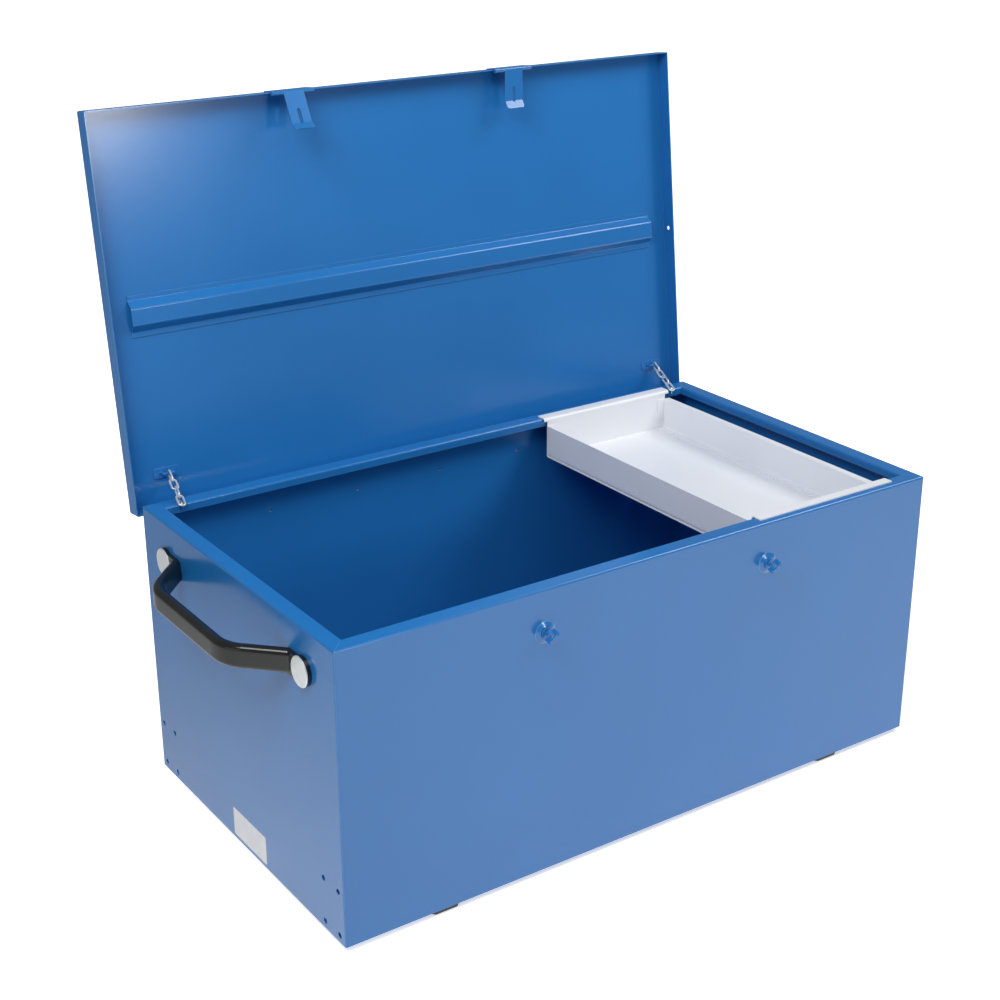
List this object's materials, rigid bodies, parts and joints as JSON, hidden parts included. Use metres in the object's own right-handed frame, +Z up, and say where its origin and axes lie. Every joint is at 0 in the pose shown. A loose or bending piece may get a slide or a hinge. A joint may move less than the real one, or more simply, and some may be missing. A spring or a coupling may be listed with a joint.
{
  "type": "steel toolbox with sliding tray",
  "caption": "Rectangular sheet-steel toolbox with a piano-hinged lid held by chains, hasps with turn staples, end carrying handles and a shallow sliding lift-out tray.",
  "frame": {"origin": "centre of the box footprint, on the plane of the feet", "axes": "+X to the right seen from the front, -Y out of the front wall, +Z up"},
  "size_m": [0.864, 0.5152, 0.7416],
  "materials": {
    "blue_paint": "smooth semi-gloss blue powder coat",
    "white_paint": "satin off-white powder coat",
    "zinc_steel": "zinc plated steel",
    "black_plastic": "glossy moulded black plastic",
    "black_rubber": "matte black rubber"
  },
  "bodies": {
    "box": {"front_panel": "blue_paint", "rear_panel": "blue_paint", "floor_panel": "blue_paint", "end_panel_left": "blue_paint", "end_panel_right": "blue_paint", "feet": "black_rubber", "foot_bolts": "zinc_steel", "foot_nuts": "zinc_steel", "handle_caps": "zinc_steel", "handle_bolts": "zinc_steel", "handle_washers": "zinc_steel", "handle_nuts": "zinc_steel", "box_hinge_leaf": "blue_paint", "hinge_pin": "zinc_steel", "box_hinge_rivets": "zinc_steel", "handle_grip_left": "black_plastic", "handle_grip_right": "black_plastic", "chain_hook_left": "zinc_steel", "chain_hook_right": "zinc_steel", "chain_left": "zinc_steel", "chain_right": "zinc_steel", "lock_rosette_left": "blue_paint", "lock_rosette_right": "blue_paint"},
    "lid": {"lid_panel": "blue_paint", "lid_stiffener": "blue_paint", "lid_hinge_leaf": "blue_paint", "lid_hinge_rivets": "zinc_steel", "chain_eye_left": "blue_paint", "chain_eye_right": "blue_paint", "hasp_leaf_left": "blue_paint", "hasp_leaf_right": "blue_paint", "hasp_pin_left": "zinc_steel", "hasp_pin_right": "zinc_steel"},
    "left_hasp": {"hasp_left": "blue_paint"},
    "right_hasp": {"hasp_right": "blue_paint"},
    "left_staple": {"turn_staple_left": "blue_paint", "push_nut_left": "zinc_steel"},
    "right_staple": {"turn_staple_right": "blue_paint", "push_nut_right": "zinc_steel"},
    "tray": {"tray_pan": "white_paint", "tray_end_left": "white_paint", "tray_end_right": "white_paint"}
  },
  "joints": [
    {"name": "lid_hinge", "type": "hinge", "parent": "box", "child": "lid", "pos_m": [0, 0.217, 0.3097], "axis": [1, 0, 0], "range_deg": [0, 96.5], "deforming": ["chain_left", "chain_right"]},
    {"name": "left_hasp_hinge", "type": "hinge", "parent": "lid", "child": "left_hasp", "pos_m": [-0.1457, 0.26416, 0.73912], "axis": [1, 0, 0], "range_deg": [-110.49, 0]},
    {"name": "right_hasp_hinge", "type": "hinge", "parent": "lid", "child": "right_hasp", "pos_m": [0.1457, 0.26416, 0.73912], "axis": [1, 0, 0], "range_deg": [-138.48, 0]},
    {"name": "left_staple_turn", "type": "hinge", "parent": "box", "child": "left_staple", "pos_m": [-0.1457, -0.21, 0.2795], "axis": [0, 1, 0], "range_deg": [-45, 45]},
    {"name": "right_staple_turn", "type": "hinge", "parent": "box", "child": "right_staple", "pos_m": [0.1457, -0.21, 0.2795], "axis": [0, 1, 0], "range_deg": [-45, 45]},
    {"name": "tray_slide", "type": "slide", "parent": "box", "child": "tray", "axis": [1, 0, 0], "range_m": [-0.475, 0]}
  ],
  "couplings": [
    {"joint": "left_hasp_hinge", "follows": "lid_hinge", "ratio": -1.145},
    {"joint": "right_hasp_hinge", "follows": "lid_hinge", "ratio": -1.435}
  ]
}
